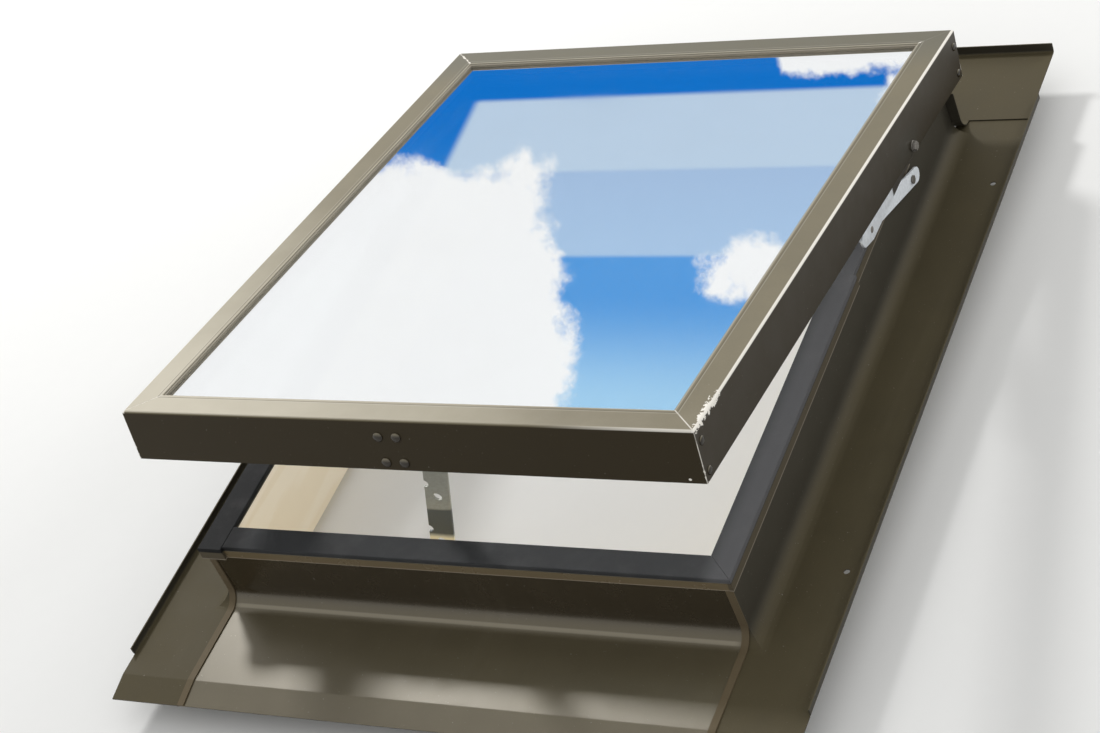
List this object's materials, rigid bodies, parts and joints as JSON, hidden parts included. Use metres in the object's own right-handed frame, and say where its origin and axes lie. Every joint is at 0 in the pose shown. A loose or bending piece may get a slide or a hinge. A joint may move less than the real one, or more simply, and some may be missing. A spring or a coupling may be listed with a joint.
{
  "type": "roof skylight",
  "caption": "Small top-hung roof skylight: double-glazed metal sash hinged at the head, timber frame with bent flashing gutters, slotted side links and a folding stay bar with a peg",
  "frame": {"origin": "middle of the frame's foot, on the plane where the boards stand on the roof", "axes": "+X along the eaves, +Y up the roof towards the hinges, +Z square to the roof and outward"},
  "size_m": [0.548, 0.7262, 0.2152],
  "materials": {
    "timber": "planed pale softwood, unpainted",
    "flashing": "satin dark bronze coating on bent sheet",
    "sash_coat": "satin dark bronze powder coat",
    "coated_rivet": "coated with the rails",
    "seal": "matte charcoal weather seal",
    "glass": "clear float glass",
    "aluminium": "bare mill finish",
    "zinc_steel": "bright zinc plating"
  },
  "bodies": {
    "frame": {"board_front": "timber", "board_left": "timber", "board_rear": "timber", "board_right": "timber", "board_screws": "zinc_steel", "front_flashing": "flashing", "head_flashing": "flashing", "side_flashing_left": "flashing", "side_flashing_right": "flashing", "gasket_front": "seal", "gasket_left": "seal", "gasket_rear": "seal", "gasket_right": "seal", "hinge_frame_leaf_left": "zinc_steel", "hinge_frame_leaf_right": "zinc_steel", "hinge_pins": "zinc_steel", "leaf_screws": "zinc_steel", "link_anchor_left": "flashing", "link_anchor_right": "flashing", "anchor_screws": "flashing", "anchor_studs": "zinc_steel", "stay_peg": "zinc_steel"},
    "sash": {"rail_front": "sash_coat", "rail_left": "sash_coat", "rail_rear": "sash_coat", "rail_right": "sash_coat", "bead_front": "sash_coat", "bead_left": "sash_coat", "bead_rear": "sash_coat", "bead_right": "sash_coat", "pane_outer": "glass", "pane_inner": "glass", "glass_spacer": "aluminium", "glazing_gasket": "seal", "corner_keys": "aluminium", "corner_angles": "zinc_steel", "corner_rivets": "coated_rivet", "link_plate_left": "zinc_steel", "link_plate_right": "zinc_steel", "link_studs": "zinc_steel", "plate_bolts": "zinc_steel", "plate_washers": "zinc_steel", "stay_bracket": "zinc_steel", "stay_rivets": "coated_rivet", "stay_hinge_pin": "zinc_steel", "hinge_sash_leaf_left": "zinc_steel", "hinge_sash_leaf_right": "zinc_steel", "leaf_rivets": "zinc_steel"},
    "link_left": {"side_link_left": "zinc_steel"},
    "link_right": {"side_link_right": "zinc_steel"},
    "shackle": {"stay_shackle": "zinc_steel", "stay_bar_rivet": "zinc_steel"},
    "stay": {"stay_bar": "zinc_steel"}
  },
  "joints": [
    {"name": "sash_hinge", "type": "hinge", "parent": "frame", "child": "sash", "pos_m": [0, 0.27, 0.042], "axis": [-1, 0, 0], "range_deg": [-10.9, 5]},
    {"name": "link_pivot_left", "type": "hinge", "parent": "frame", "child": "link_left", "pos_m": [-0.218, 0.1544, 0.0724], "axis": [-1, 0, 0], "range_deg": [-23.74, 11]},
    {"name": "link_pivot_right", "type": "hinge", "parent": "frame", "child": "link_right", "pos_m": [0.218, 0.1544, 0.0724], "axis": [-1, 0, 0], "range_deg": [-23.74, 11]},
    {"name": "stay_fold", "type": "hinge", "parent": "sash", "child": "shackle", "pos_m": [-0.0013, -0.22172, 0.18028], "axis": [1, 0, 0], "range_deg": [-4, 75]},
    {"name": "stay_swing", "type": "hinge", "parent": "shackle", "child": "stay", "pos_m": [-0.0013, -0.22172, 0.16428], "axis": [0, 1, 0], "range_deg": [-30, 30]}
  ],
  "couplings": [
    {"joint": "link_pivot_left", "follows": "sash_hinge", "ratio": 2.16},
    {"joint": "link_pivot_right", "follows": "sash_hinge", "ratio": 2.16}
  ]
}
